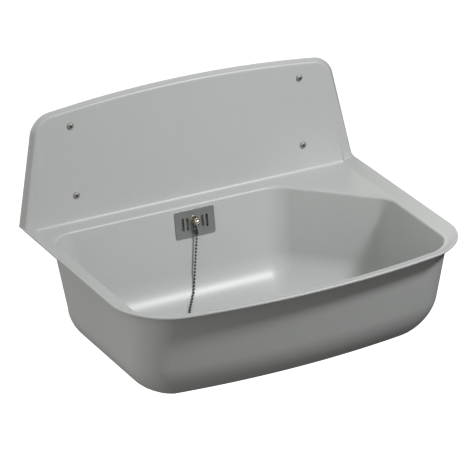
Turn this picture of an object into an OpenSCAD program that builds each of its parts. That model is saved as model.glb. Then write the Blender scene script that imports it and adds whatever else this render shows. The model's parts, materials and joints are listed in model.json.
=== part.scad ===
// Wall-hung mop and service sink: one moulded bowl with a raised back panel, a chained plug,
// an overflow and a waste. Millimetres. X runs along the wall, the wall is the plane Y = 0,
// the sink stands out towards -Y, and Z = 0 is the top of the rim.

/* [Rim] */
// Width over the rim, at the wall
sink_w = 600; // [540:5:700]
// Depth from the wall to the middle of the front
sink_d = 470; // [430:5:540]
// How far the middle of the front stands before its corners
front_bulge = 37; // [15:1:50]
// How much nearer the middle each side is at the front than at the wall
side_taper = 10; // [0:1:20]
// Radius of the rim's front corners
rim_corner_r = 80; // [65:1:100]
// Width of the sloping strip round the bowl
rim_strip = 24; // [18:1:32]
// Rise of that strip above the deck
rim_rise = 7.5; // [4:0.5:12]
// Thickness of the rim's lip and of the panel
lip = 4.5; // [3.5:0.5:6]
// Thickness of the bowl's wall
sheet = 6; // [4:0.5:8]

/* [Bowl] */
// Depth of the bowl below the rim
bowl_depth = 176; // [150:1:210]
// Distance from the wall to the bowl's back edge
deck_d = 43.5; // [40:0.5:56]
// Where the cut-off back corner leaves the back edge, from the middle
cut_x = 137; // [110:1:170]
// Where it meets the right side, from the wall
cut_y = 190; // [160:1:210]
// Corner radius at the back
back_corner_r = 45; // [35:1:60]
// Corner radius at the front
front_corner_r = 50; // [40:1:60]
// Radius where the cut-off corner runs into its neighbours
cut_corner_r = 60; // [40:1:70]
// Roundness of the bowl's edge
edge_r = 4; // [2:0.5:8]
// Slope of the side walls, in degrees from upright
side_draft = 2.5; // [1:0.5:8]
// Slope of the back wall
back_draft = 5; // [3:0.5:8]
// Slope of the front wall
front_draft = 18; // [10:0.5:20]
// Height of the round at the foot of the walls
cove_h = 64; // [45:1:75]
// Reach of that round at the sides
cove_side = 86; // [60:1:95]
// Reach of that round at the front and the back
cove_end = 64; // [50:1:75]
// Fall of the floor towards the back, a share of its length
floor_fall = 0.02; // [0:0.005:0.04]

/* [Back panel] */
// Height of the panel's middle above the rim
panel_h = 197.5; // [150:0.5:240]
// Rise of its arched top over the ends
panel_arch = 18; // [8:1:24]
// Tilt of its side edges, in degrees from upright
panel_tilt = 11.6; // [6:0.2:14]
// Radius of its top corners
panel_corner_r = 34; // [24:1:60]
// Gap from the wall to the panel's face, at its foot
panel_gap = 15; // [13:0.5:20]
// How far the panel leans back, in degrees
panel_lean = 2; // [0:0.5:2.5]
// Flare of the return edge towards the wall, a share of its depth
return_flare = 0.3; // [0.1:0.01:0.45]
// Roundness of the panel's edge
panel_edge_r = 4; // [2:0.5:5]

/* [Wall fixing] */
// Spacing of the screws along the wall
screw_span = 410; // [360:5:450]
// Spacing of the screws up the wall
screw_rise = 118; // [90:1:125]
// Height of the lower screws above the rim
screw_low = 38; // [30:1:50]
// Diameter of the screws
screw_d = 6; // [4:0.5:8]
// Length of the screws behind the wall's face
screw_grip = 45; // [30:1:60]
// Diameter of the screw heads
screw_head_d = 9; // [8.5:0.5:12]
// Width of the cup washers' rims round the heads
washer_rim = 1.4; // [1:0.1:3]
// Diameter of the wall plugs
wall_plug_d = 10; // [9:0.5:14]
// Diameter of the moulded bosses behind the panel
boss_d = 24; // [18:1:30]

/* [Overflow] */
// Overflow and waste, to the side of the middle
drain_x = -16; // [-30:1:20]
// Depth of the overflow's middle below the rim
overflow_drop = 39; // [36:1:50]
// Width of the overflow plate
plate_w = 71; // [66:1:80]
// Height of the overflow plate
plate_h = 47; // [42:1:54]
// Thickness of the overflow plate
plate_t = 1.5; // [1:0.1:2]
// Length of each slot in the plate
slot_len = 22; // [12:1:24]
// Width of each slot
slot_w = 4; // [3:0.5:5]
// Distance of the inner slots from the middle
slot_inner = 13.5; // [12:0.5:14]
// Distance from each inner slot to the outer one
slot_pitch = 8; // [7:0.5:9]
// Offset of the chain stay from the plate's middle
stay_x = -1.5; // [-5:0.5:5]
// Height of the chain stay above the plate's middle
stay_z = 6; // [0:0.5:8]
// Diameter of the chain stay's knob
knob_d = 10; // [8:0.5:12]
// Distance from the wall to the middle of the chain
stay_reach = 8; // [7:0.5:12]
// Depth of the overflow box behind the bowl
box_depth = 20; // [16:1:22]
// Bore of the overflow hose
hose_bore = 16; // [12:1:18]
// Wall of the overflow hose
hose_wall = 2; // [1.5:0.5:3]
// Radius of the hose's bend
hose_bend = 45; // [35:1:50]

/* [Waste and plug] */
// Distance of the waste from the wall
drain_y = 205; // [195:1:230]
// Diameter of the waste's flange in the bowl
flange_d = 72; // [68:1:80]
// Diameter of the waste's outlet
outlet_d = 47.8; // [40:0.1:50]
// Length of the outlet
outlet_len = 22; // [15:1:30]
// Diameter of the waste body's cup
cup_d = 64; // [60:1:68]
// Depth of the waste body's cup
cup_len = 40; // [34:1:50]
// Wall of the waste body
cup_wall = 3; // [2:0.5:4]
// Thickness of the gaskets
gasket_t = 2; // [1:0.5:3]
// Diameter of the rubber plug at its top
stopper_d = 44; // [40:0.5:44]
// Depth of the seat that the plug stands in
seat_depth = 14; // [13:0.5:18]
// Diameter of the chain's balls
bead_d = 4.5; // [3:0.1:5]

/* [Hidden] */
$fn = 48;

// Points on each rounded corner, and pieces in each straight side between corners
corner_n = 8;
side_n = [4, 1, 1, 3, 14, 4];
cove_n = 7;
edge_n = 3;
round_n = 3;
// Points of every ring from its left back corner to its right one, and on the panel's ends and top
back_n = 3 * (corner_n + 1) + side_n[0] - 1;
end_n = corner_n - 1;
arch_n = back_n - 2 * (end_n + 2);
// Least leg and least radius of a rounded corner
least_leg = 3;
least_r = 12;

// Heights, down from the top of the rim
deck_z = -rim_rise;
bowl_top = deck_z - edge_r;
floor_z = -bowl_depth;
cove_top = floor_z + cove_h;
seat_fall = 3;

// The front bows out between these distances from the wall
front_y = sink_d - front_bulge;
bulge_from = 120;
bulge_to = 350;
// How the bowl's corners change by the foot of the walls, and tighten below it
foot_grown = 1.45;
foot_shrunk = 8;
foot_tighten = 0.6;
// Flat seat round the waste, wider than its flange
seat_r = flange_d / 2 + 16;
seat_z = floor_z - seat_fall;

// The strip slopes down to a crease, where the deck or the mouth begins
crease = rim_strip - 1;
crease_w = 3;
crease_r = front_corner_r + 1;
lip_r = 1.5;

// The panel stands out past the rim a little at its foot, and the rim begins just before its face
panel_half = sink_w / 2 + 2.5;
panel_end = panel_h - panel_arch;
shoulder = panel_gap + 3;
flare = return_flare * panel_gap;
foot_r = 5;
// The rib behind the panel, and the shelf that joins them
rib_h = 22;
rib_w = sink_w - 2 * rim_strip - 8;
shelf_t = lip - 1.5;

// Clearance round screws, and how far a cut runs past what it cuts
clear = 0.3;
past = 1;

// --- small helpers ---------------------------------------------------------------------------
function unit(v) = v / norm(v);
function blend_to(a, b, t) = a + (b - a) * t;

// A round from a to b whose corner is v: a true arc when both legs are equal
function bend(a, v, b, n = corner_n) =
    let (w = sqrt(max(0, (1 + unit(v - a) * unit(b - v)) / 2)))
    [for (k = [0 : n])
        let (t = k / n, p = (1 - t) * (1 - t), q = 2 * w * t * (1 - t), r = t * t)
        (p * a + q * v + r * b) / (p + q + r)];

// Length that a round of radius r takes from each leg of corner i
function leg(v, i, r) =
    let (n = len(v), a = unit(v[i] - v[(i + n - 1) % n]), b = unit(v[(i + 1) % n] - v[i]))
    max(least_leg, r * sqrt(max(0, (1 - a * b) / (1 + a * b))));

// A closed outline through corners v with radii r and sub-divided sides
function outline(v, r, sides) =
    let (n = len(v), l = [for (i = [0 : n - 1]) leg(v, i, r[i])])
    [for (i = [0 : n - 1])
        let (before = v[(i + n - 1) % n], after = v[(i + 1) % n], j = (i + 1) % n,
             a = v[i] + l[i] * unit(before - v[i]), b = v[i] + l[i] * unit(after - v[i]),
             c = after + l[j] * unit(v[i] - after))
        for (p = concat(bend(a, v[i], b),
                        [for (k = [1 : 1 : sides[i] - 1]) blend_to(b, c, k / sides[i])])) p];

// A closed solid through a list of rings that have the same number of points
module skin(rings) {
    n = len(rings[0]);
    m = len(rings);
    polyhedron(
        points = [for (r = rings) for (p = r) p],
        faces = concat(
            [[for (i = [0 : n - 1]) i]],
            [for (k = [0 : m - 2]) for (i = [0 : n - 1]) let (j = (i + 1) % n)
                [k * n + i, (k + 1) * n + i, (k + 1) * n + j]],
            [for (k = [0 : m - 2]) for (i = [0 : n - 1]) let (j = (i + 1) % n)
                [k * n + i, (k + 1) * n + j, k * n + j]],
            [[for (i = [n - 1 : -1 : 0]) (m - 1) * n + i]]),
        convexity = 10);
}

// A cylinder along Y, between two places on it, the first nearer the wall
module along_y(d, from, to) {
    translate([0, from, 0]) rotate([90, 0, 0]) cylinder(d = d, h = from - to);
}

// A ring of round wire, lying flat
module wire_ring(r, wire) {
    rotate_extrude() translate([r, 0]) circle(d = wire, $fn = 24);
}

// A plate with round corners, standing in the XZ plane between two places on Y
module upright_plate(w, h, r, from, to) {
    translate([0, from, 0]) rotate([90, 0, 0]) linear_extrude(from - to)
        union() {
            square([w - 2 * r, h], center = true);
            square([w, h - 2 * r], center = true);
            for (x = [-1, 1]) for (y = [-1, 1]) translate([x * (w / 2 - r), y * (h / 2 - r)]) circle(r);
        }
}

// --- the moulded shell -----------------------------------------------------------------------
// Half the rim's width, y from the wall
function half_w(y) = sink_w / 2 - side_taper * y / sink_d;

// The front bows out: every outline is moved by the same rule
function bulged(p) =
    let (share = min(1, max(0, (-p[1] - bulge_from) / (bulge_to - bulge_from))), x = p[0] / half_w(front_y))
    [p[0], p[1] - front_bulge * share * (1 - x * x)];
function at_height(points, z) = [for (p = points) let (q = bulged(p)) [q[0], q[1], z]];

// An outline of the rim, inset from its edge and from the wall
function rim_ring(inset, from_wall, r, z) =
    let (s = function(y) half_w(y) - inset, f = front_y - inset)
    at_height(outline([[-s(from_wall), -from_wall], [cut_x, -from_wall], [s(from_wall), -from_wall],
                       [s(cut_y), -cut_y], [s(f), -f], [-s(f), -f]], [0, 0, 0, 0, r, r], side_n), z);

// The cut-off corner: its two ends, its length and the way that faces into the bowl
cut_end = half_w(cut_y) - rim_strip;
cut_dx = cut_end - cut_x;
cut_dy = cut_y - deck_d;
cut_len = norm([cut_dx, cut_dy]);

// An outline of the bowl, inset from its mouth at the sides, back, cut-off corner and front
function bowl_outline(in_side, in_back, in_cut, in_front, r_back, r_cut, r_front) =
    let (s = function(y) half_w(y) - rim_strip - in_side, b = deck_d + in_back,
         f = front_y - rim_strip - in_front, ux = cut_dx / cut_len, uy = cut_dy / cut_len,
         ax = cut_x - in_cut * uy, ay = deck_d + in_cut * ux, k = side_taper / sink_d,
         t1 = (b - ay) / uy, t2 = (s(0) - k * ay - ax) / (ux + k * uy), tm = (t1 + t2) / 2)
    outline([[-s(b), -b], [ax + t1 * ux, -b], [ax + tm * ux, -ay - tm * uy], [ax + t2 * ux, -ay - t2 * uy],
             [s(f), -f], [-s(f), -f]], [r_back, r_cut, 0, r_cut, r_front, r_front], side_n);

// The floor falls a little towards the back, and the round below the walls takes up the fall
function tipped(points) = [for (p = points)
    [p[0], p[1], p[2] - floor_fall * (p[1] + sink_d / 2) * (cove_top - p[2]) / cove_h]];

// Run of a wall inwards at height z
function run(draft, z) = edge_r + tan(draft) * (bowl_top - z);

// The round of the bowl's mouth
function edge_ring(a) =
    let (i = edge_r * sin(a))
    at_height(bowl_outline(i, i, i, i, back_corner_r - i, cut_corner_r - i, front_corner_r - i),
              deck_z - edge_r * (1 - cos(a)));

// The top of the outside, under the deck: a sheet's thickness behind the inside
function outer_top_ring() =
    let (z = deck_z - sheet, side = run(side_draft, z) - sheet, back = run(back_draft, z) - sheet,
         front = run(front_draft, z) - sheet, grow = sheet - edge_r)
    at_height(bowl_outline(side, back, back, front, back_corner_r + grow, cut_corner_r + grow,
                           front_corner_r + grow), z);

// The wall's foot and the round below it
function cove_ring(off, a) =
    let (c = 1 - cos(a), side = run(side_draft, cove_top), back = run(back_draft, cove_top),
         front = run(front_draft, cove_top), s = cove_side + off, e = cove_end + off,
         tight = foot_tighten * s * c)
    tipped(at_height(bowl_outline(
        side - off + s * c, back - off + e * c, back - off + e * c, front - off + e * c,
        max(least_r, foot_grown * back_corner_r + off - tight), max(least_r, cut_corner_r + off - tight),
        max(least_r, front_corner_r - foot_shrunk + off - tight)), cove_top - (cove_h + off) * sin(a)));

// The flat seat round the waste
function seat_ring(off) =
    [for (p = cove_ring(off, 90)) let (u = unit([p[0] - drain_x, p[1] + drain_y]))
        [drain_x + seat_r * u[0], -drain_y + seat_r * u[1], seat_z - off]];

// Half the panel's width at its return edge, and the distance of its face from the wall
function panel_edge(z) = panel_half - tan(panel_tilt) * z;
function face_y(z) = panel_gap - tan(panel_lean) * (z - deck_z);

// The panel's outline from foot to foot, inset from the return edge, at a share of its face's depth
function panel_line(inset, depth, drop) =
    let (w = panel_edge(0) - inset, x = panel_edge(panel_end) - inset, z = panel_end - inset,
         foot = -max(0, half_w(0) - w) * rim_rise / crease - drop,
         v = [[-w, foot], [-x, z], [x, z], [w, foot]], l = leg(v, 1, panel_corner_r - inset),
         a = v[1] + l * unit(v[0] - v[1]), b = v[1] + [l, 0],
         left = bend(a, v[1], b, end_n - 1),
         flat = concat([v[0]], left, [for (k = [1 : arch_n]) blend_to(b, [-b[0], b[1]], k / (arch_n + 1))],
                       [for (k = [end_n - 1 : -1 : 0]) [-left[k][0], left[k][1]]], [v[3]]))
    [for (p = flat)
        let (up = max(0, p[1] / panel_end), u = p[0] / panel_edge(panel_end),
             h = p[1] + panel_arch * up * up * max(0, 1 - u * u))
        [p[0], -depth * face_y(h), h]];

// One ring round the sheet's edge: along the rim's sides and front, and over the panel
function edge_of_sheet(rim_inset, z, panel_inset, depth, drop) =
    let (rim = rim_ring(rim_inset, 0, rim_corner_r - rim_inset, z), x = half_w(shoulder) - rim_inset)
    concat([[-x, -shoulder, z]], panel_line(panel_inset, depth, drop), [[x, -shoulder, z]],
           [for (i = [back_n : len(rim) - 1]) rim[i]]);

// One ring of the concave round at the panel's foot, which fades out where the strip comes in
function foot_ring(a) =
    let (y = face_y(deck_z + foot_r) + foot_r * (1 - cos(a)), rise = foot_r * (1 - sin(a)),
         inset = crease - crease_w * (1 - a / 90), z = -rim_rise * inset / crease,
         flat = rim_ring(inset, y, crease_r, z))
    [for (i = [0 : len(flat) - 1])
        let (share = max(0, min(1, i / corner_n, (back_n - 1 - i) / corner_n)))
        [flat[i][0], flat[i][1], z + share * (deck_z + rise - z)]];

// The whole moulded sheet as one loft: from the waste up the inside, round the edge of the rim
// and of the panel, and back down the outside
module moulded_sheet() {
    steps = [for (k = [round_n : -1 : 0]) 90 * k / round_n];
    skin(concat(
        [seat_ring(0)],
        [for (k = [cove_n : -1 : 0]) cove_ring(0, 90 * k / cove_n)],
        [for (k = [edge_n : -1 : 0]) edge_ring(90 * k / edge_n)],
        [for (a = steps) foot_ring(a)],
        [for (a = steps) edge_of_sheet(lip_r * (1 - cos(a)), -lip_r * (1 - sin(a)),
                                       flare + panel_edge_r * (1 - cos(a)),
                                       1 - (1 - sin(a)) * panel_edge_r / panel_gap, 0)],
        [edge_of_sheet(0, -lip / 2, 0, 0, 0),
         edge_of_sheet(0, lip_r - lip, lip, 0, lip),
         edge_of_sheet(lip_r, -lip, flare + lip, 1 - lip / panel_gap, lip),
         rim_ring(crease, panel_gap - lip, crease_r, deck_z - lip),
         outer_top_ring()],
        [for (k = [0 : cove_n]) cove_ring(sheet, 90 * k / cove_n)],
        [seat_ring(sheet)]));
}

screw_heights = [screw_low, screw_low + screw_rise];
// Where the washers seat, below the panel's leaning face
spot = 0.3;
function seat_y(z) = face_y(z) - spot;
module at_screws(z) {
    for (x = [-1, 1]) translate([x * screw_span / 2, 0, z]) children();
}

// Thickness of the back wall, square to it, and the opening in it for all the plate's slots
wall_t = sheet * cos(back_draft);
slots_w = 2 * (slot_inner + slot_pitch) + slot_w;
opening_rim = 2;
opening_w = slots_w + 2 * opening_rim;
opening_h = slot_len + 2 * opening_rim;
opening_r = 5;
wall_face = -(deck_d + run(back_draft, -overflow_drop));
// The overflow's own frame: its Y = 0 is the bowl's leaning back wall
module at_overflow() {
    translate([drain_x, wall_face, -overflow_drop]) rotate([-back_draft, 0, 0]) children();
}
module at_stay() {
    at_overflow() translate([stay_x, -stay_reach, stay_z]) children();
}
module at_waste() {
    translate([drain_x, -drain_y, seat_z]) children();
}
waste_hole = stopper_d + 8;

module sink_shell() {
    color([0.69, 0.71, 0.70]) difference() {
        union() {
            moulded_sheet();
            // Bosses that carry the panel on the wall round each screw
            for (z = screw_heights) at_screws(z) along_y(boss_d, 0, -face_y(z) + lip / 2);
            // Rib that bears on the wall behind the panel, on a shelf from the panel's foot
            translate([-rib_w / 2, -lip, -rib_h / 2]) cube([rib_w, lip, rib_h]);
            translate([-rib_w / 2, lip / 2 - panel_gap, deck_z - lip + 1])
                cube([rib_w, panel_gap - lip, shelf_t]);
        }
        for (z = screw_heights) at_screws(z) {
            along_y(screw_d + 2 * clear, past, -panel_gap - past);
            along_y(washer_d + 2 * clear, -seat_y(z), -panel_gap - past);
        }
        at_overflow() upright_plate(opening_w, opening_h, opening_r, 2 * sheet, -sheet);
        at_waste() translate([0, 0, -2 * sheet]) cylinder(d = waste_hole, h = 4 * sheet);
    }
}

// --- wall fixings ----------------------------------------------------------------------------
washer_d = screw_head_d + 2 * washer_rim;
cup_r = screw_d / 2 + clear;
cup_h = 2;
head_r = screw_head_d / 2;
head_dome = 1.1;
recess_w = 1.2;
recess_depth = 1.2;

module wall_screws() {
    // The cone of the head goes on below the cup washer until it meets the shank
    cone = clear * cup_h / (head_r - cup_r);
    color("silver") for (z = screw_heights) at_screws(z) translate([0, -seat_y(z), 0]) rotate([90, 0, 0])
        difference() {
            end = -seat_y(z) - screw_grip;
            rotate_extrude() polygon([[0, end], [screw_d / 8, end], [screw_d / 2, end + screw_d],
                                      [screw_d / 2, -cone], [head_r, cup_h],
                                      [head_r * 0.8, cup_h + head_dome * 0.55],
                                      [head_r * 0.4, cup_h + head_dome * 0.9], [0, cup_h + head_dome]]);
            // Cross recess
            for (a = [0, 90]) rotate(a) translate([-head_r * 0.45, -recess_w / 2, cup_h - recess_depth])
                cube([head_r * 0.9, recess_w, recess_depth + head_dome + past]);
        }
}

module cup_washers() {
    color("silver") for (z = screw_heights) at_screws(z) translate([0, -seat_y(z), 0]) rotate([90, 0, 0])
        rotate_extrude() polygon([[cup_r, 0], [washer_d / 2, 0], [washer_d / 2, cup_h * 0.4],
                                  [head_r + 0.4, cup_h], [head_r, cup_h]]);
}

// Length of a wall plug past its screw's tip
plug_end = 5;
module wall_plugs() {
    color("gray") for (z = screw_heights) at_screws(z) rotate([-90, 0, 0])
        difference() {
            cylinder(d = wall_plug_d, h = screw_grip + plug_end);
            translate([0, 0, -past]) cylinder(d = screw_d, h = screw_grip + past + 1);
        }
}

// --- overflow --------------------------------------------------------------------------------
stay_shank = 5;
plate_r = 4;

module overflow_plate() {
    color("silver") at_overflow() difference() {
        upright_plate(plate_w, plate_h, plate_r, 0, -plate_t);
        for (x = [-1, 1]) for (k = [0, 1]) translate([x * (slot_inner + k * slot_pitch), 0, 0])
            upright_plate(slot_w, slot_len, slot_w / 2 - 0.01, past, -plate_t - past);
        translate([stay_x, 0, stay_z]) along_y(stay_shank + 2 * clear, past, -plate_t - past);
    }
}

// The box behind the wall, with a flange round the opening
box_rim = 5;
box_w = opening_w + 2 * box_rim;
box_h = opening_h + 2 * box_rim;
box_r = 6;
box_wall = 3;
box_y = wall_t + gasket_t;
module overflow_gasket() {
    color("dimgray") at_overflow() difference() {
        upright_plate(box_w, box_h, box_r, box_y, wall_t);
        upright_plate(opening_w, opening_h, opening_r, box_y + past, wall_t - past);
    }
}

// The hose drops from under the box, bends, and runs out to the waste's inlet
hose_d = hose_bore + 2 * hose_wall;
hose_y = -(deck_d + edge_r - sheet) + hose_d / 2 - 2;
hose_top = -overflow_drop - box_h / 2 - 2;
spigot_wall = 2;
spigot_len = 16;
inlet_drop = 20;
inlet_z = seat_z - sheet - gasket_t - inlet_drop;
hose_start = -drain_y + cup_d / 2 + 4;

module overflow_box() {
    color("dimgray") difference() {
        union() {
            at_overflow() difference() {
                upright_plate(box_w, box_h, box_r, box_y + box_depth, box_y);
                upright_plate(opening_w, opening_h, opening_r, box_y + box_depth - box_wall, box_y - past);
            }
            // Post that the chain stay screws into
            at_stay()
                along_y(stay_shank + 2 * box_wall, stay_reach + box_y + box_depth - 1, stay_reach + box_y);
            // Spigot for the hose
            translate([drain_x, hose_y, hose_top - spigot_len]) cylinder(d = hose_bore, h = spigot_len + 5);
        }
        at_stay() along_y(stay_shank, stay_reach + box_y + box_depth - box_wall, 0);
        translate([drain_x, hose_y, hose_top - spigot_len - past])
            cylinder(d = hose_bore - 2 * spigot_wall, h = spigot_len + 2 * box_wall + 3 * past);
    }
}

module overflow_hose() {
    bend_z = inlet_z + hose_bend;
    bend_y = hose_y - hose_bend;
    color("dimgray") translate([drain_x, 0, 0]) {
        translate([0, hose_y, bend_z]) difference() {
            cylinder(d = hose_d, h = hose_top - bend_z);
            translate([0, 0, -past]) cylinder(d = hose_bore, h = hose_top - bend_z + 2 * past);
        }
        translate([0, bend_y, bend_z]) rotate([0, 90, 0])
            rotate_extrude(angle = 90) translate([hose_bend, 0]) difference() {
                circle(d = hose_d);
                circle(d = hose_bore);
            }
        translate([0, 0, inlet_z]) difference() {
            along_y(hose_d, bend_y, hose_start);
            along_y(hose_bore, bend_y + past, hose_start - past);
        }
    }
}

// A band round the hose with its screw's housing, along Z
band_h = 8;
band_t = 1;
housing_w = 10;
module clip_band() {
    difference() {
        union() {
            cylinder(d = hose_d + 2 * band_t, h = band_h);
            translate([-housing_w / 2, hose_d / 2 - band_t / 2, band_t / 2])
                cube([housing_w, housing_w / 2, band_h - band_t]);
        }
        translate([0, 0, -past]) cylinder(d = hose_d, h = band_h + 2 * past);
    }
}
module hose_clips() {
    from_end = (spigot_len - band_h) / 2;
    color("silver") translate([drain_x, 0, 0]) {
        translate([0, hose_y, hose_top - from_end - band_h]) rotate(90) clip_band();
        translate([0, hose_start + from_end, inlet_z]) rotate([-90, 0, 0]) clip_band();
    }
}

// --- chain stay and chain --------------------------------------------------------------------
ring_wire = 1.8;
ring_r = 7;
neck_d = 5;
ring_drop = ring_r - ring_wire / 2 - neck_d / 2 - clear / 2;
collar_t = 1.5;
clasp_d = 6;
clasp_len = 10;
lug_d = 6.5;
lug_t = 2;
lug_hole = ring_wire + 1;

module chain_stay() {
    color("gold") at_stay() {
        along_y(stay_shank, stay_reach + box_y + box_depth - box_wall - 1, stay_reach - plate_t);
        along_y(knob_d + 2, stay_reach - plate_t, stay_reach - plate_t - collar_t);
        along_y(neck_d, stay_reach - plate_t - 1, -2);
        translate([0, -knob_d / 2 - 1, 0]) sphere(d = knob_d);
    }
}

module stay_ring() {
    color("silver") at_stay() translate([0, 0, -ring_drop]) rotate([90, 0, 0]) wire_ring(ring_r, ring_wire);
}

// A clasp along -Z: a lug round the ring's wire, and a barrel that holds the chain's last ball
module clasp() {
    difference() {
        union() {
            rotate([0, 90, 0]) cylinder(d = lug_d, h = lug_t, center = true);
            translate([0, 0, -lug_d / 2 - 1]) cylinder(d = 2.5, h = 3);
            translate([0, 0, -lug_d / 2 - clasp_len]) cylinder(d = clasp_d, h = clasp_len - 1);
        }
        rotate([0, 90, 0]) cylinder(d = lug_hole, h = lug_t + 2 * past, center = true);
    }
}

module upper_chain_clasp() {
    color("silver") at_stay() translate([0, 0, -ring_drop - ring_r]) rotate([back_draft, 0, 0]) clasp();
}

// The chain hangs beside the back wall, lies on the round below it and on the floor, and runs
// over the waste's flange to the clasp on the plug
chain_route = [
    [-17.5, -58.5, -53], [-17.5, -58.5, -58], [-18.5, -58.8, -66], [-20, -59.4, -77], [-22, -60.2, -90],
    [-24, -61, -104], [-26.2, -62, -120], [-28.5, -63.6, -134], [-31.5, -67, -144], [-35, -72.3, -152],
    [-39, -76.8, -157], [-43, -81.5, -161.4], [-48, -88, -166], [-53, -95, -169.6], [-57, -102, -172],
    [-60, -110, -173.8], [-61, -119, -174.8], [-59, -128, -175.4], [-54, -136.5, -175.8],
    [-47, -143.5, -176], [-39, -149.5, -176], [-31.5, -154.5, -175.3], [-25.5, -159.5, -173.8],
    [-21, -164.5, -171.8], [-18, -169.3, -170], [-16.3, -173.8, -168.9], [-16, -177.5, -168.5]];
chain_sides = 8;

// A round tube along a route, with one ring at each of its points
module tube_along(route, d, sides) {
    last = len(route) - 1;
    skin([for (i = [0 : last])
        let (t = unit(route[min(last, i + 1)] - route[max(0, i - 1)]), n = unit(cross(t, [1, 0, 0])),
             b = cross(t, n))
        [for (k = [0 : sides - 1]) let (a = 360 * k / sides) route[i] + d / 2 * (cos(a) * n + sin(a) * b)]]);
}
module ball_chain() {
    color("silver") tube_along(chain_route, bead_d, chain_sides);
}

// --- plug and waste --------------------------------------------------------------------------
// Heights above the seat: the flange's top, the plug's top and the middle of the plug's eye
flange_t = 2;
flange_top = gasket_t + flange_t;
lip_t = 2.5;
plug_top = flange_top + lip_t;
cap_t = 1.5;
eye_d = 8;
eye_t = 2.5;
eye_hole = lug_hole + 1;
eye_z = cap_t + eye_d / 2 + 1;
// Fall of the ring and the clasp from the eye towards the chain, in degrees
dip = 5;
module at_eye() {
    at_waste() translate([0, 0, plug_top + eye_z]) rotate([-dip, 0, 0]) children();
}

module lower_chain_clasp() {
    color("silver") at_eye() translate([0, 2 * ring_r, 0]) rotate([90, 0, 0]) clasp();
}
module plug_ring() {
    color("silver") at_eye() translate([0, ring_r, 0]) wire_ring(ring_r, ring_wire);
}

module plug_cap() {
    color("silver") at_waste() translate([0, 0, plug_top]) difference() {
        union() {
            cylinder(d1 = stopper_d - 6, d2 = stopper_d - 9, h = cap_t);
            cylinder(d = 2 * eye_t, h = cap_t + 2);
            translate([0, 0, eye_z]) rotate([0, 90, 0]) cylinder(d = eye_d, h = eye_t, center = true);
        }
        translate([0, 0, eye_z]) rotate([0, 90, 0])
            cylinder(d = eye_hole, h = eye_t + 2 * past, center = true);
    }
}

// The plug and the seat both narrow by this much on the way down
taper = 1.5;
strainer_t = 2;
screw_cap_h = 3;
plug_depth = seat_depth - screw_cap_h - 1;
module rubber_plug() {
    r = stopper_d / 2;
    foot = flange_top - plug_depth;
    color([0.15, 0.15, 0.15]) at_waste() rotate_extrude() polygon([
        [0, foot], [r - taper, foot], [r, flange_top], [r + 2, flange_top], [r + 2, plug_top - 1],
        [r + 1, plug_top], [0, plug_top]]);
}

boss_top = flange_top - seat_depth - strainer_t;
waste_screw_d = 6;
strainer_hole = 8;
module waste_strainer() {
    inner = stopper_d / 2 + clear;
    seat = boss_top + strainer_t;
    color("silver") at_waste() difference() {
        rotate_extrude() polygon([
            [0, boss_top], [inner - taper + strainer_t, boss_top], [inner + strainer_t, gasket_t],
            [flange_d / 2, gasket_t], [flange_d / 2, flange_top - 1], [flange_d / 2 - 2, flange_top],
            [inner, flange_top], [inner - taper, seat], [0, seat]]);
        translate([0, 0, boss_top - past]) {
            cylinder(d = waste_screw_d + 2 * clear, h = strainer_t + 2 * past);
            for (a = [0 : 60 : 300]) rotate(a) translate([stopper_d * 0.3, 0, 0])
                cylinder(d = strainer_hole, h = strainer_t + 2 * past);
        }
    }
}

module strainer_gasket() {
    color("dimgray") at_waste() difference() {
        cylinder(d = flange_d - 4, h = gasket_t);
        translate([0, 0, -past]) cylinder(d = waste_hole, h = gasket_t + 2 * past);
    }
}

waste_screw_len = 20;
waste_head_d = 14;
module waste_screw() {
    seat = boss_top + strainer_t;
    color("silver") at_waste() difference() {
        union() {
            translate([0, 0, seat]) cylinder(d1 = waste_head_d, d2 = waste_head_d - 2, h = screw_cap_h);
            translate([0, 0, boss_top - waste_screw_len])
                cylinder(d = waste_screw_d, h = waste_screw_len + strainer_t + 1);
        }
        translate([-waste_head_d / 2 - past, -recess_w / 2, seat + screw_cap_h - recess_depth])
            cube([waste_head_d + 2 * past, recess_w, recess_depth + past]);
    }
}

module waste_gasket() {
    color("dimgray") at_waste() translate([0, 0, -sheet - gasket_t]) difference() {
        cylinder(d = cup_d + 8, h = gasket_t);
        translate([0, 0, -past]) cylinder(d = waste_hole, h = gasket_t + 2 * past);
    }
}

bush_len = 18;
rib_t = 3;
module waste_body() {
    top = -sheet - gasket_t;
    foot = top - cup_len;
    outer = cup_d / 2;
    inner = outer - cup_wall;
    out_r = outlet_d / 2;
    spigot = outer - 1;
    inlet = inlet_z - seat_z;
    color("dimgray") at_waste() difference() {
        union() {
            difference() {
                rotate_extrude() polygon([
                    [0, foot - outlet_len], [out_r, foot - outlet_len], [out_r, foot - 2], [outer - 4, foot],
                    [outer, foot + 4], [outer, top - 4], [outer + 4, top - 4], [outer + 4, top], [0, top]]);
                translate([0, 0, foot + 4]) cylinder(r = inner, h = cup_len);
                translate([0, 0, foot + 1]) cylinder(r1 = out_r - cup_wall, r2 = inner, h = 3.01);
                translate([0, 0, foot - outlet_len - past])
                    cylinder(r = out_r - cup_wall, h = outlet_len + past + 3);
            }
            // Bush for the waste screw, on three ribs
            translate([0, 0, boss_top - bush_len]) cylinder(d = waste_screw_d + 8, h = bush_len);
            for (a = [30 : 120 : 270]) rotate(a) translate([0, -rib_t / 2, boss_top - bush_len + 2])
                cube([inner + 1, rib_t, bush_len * 2 / 3]);
            // Spigot for the overflow hose
            translate([0, 0, inlet]) along_y(hose_bore, spigot + 5 + spigot_len, spigot);
        }
        translate([0, 0, boss_top - waste_screw_len - 2])
            cylinder(d = waste_screw_d, h = waste_screw_len + 4);
        translate([0, 0, inlet])
            along_y(hose_bore - 2 * spigot_wall, spigot + 5 + spigot_len + past, inner - 2);
    }
}

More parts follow.
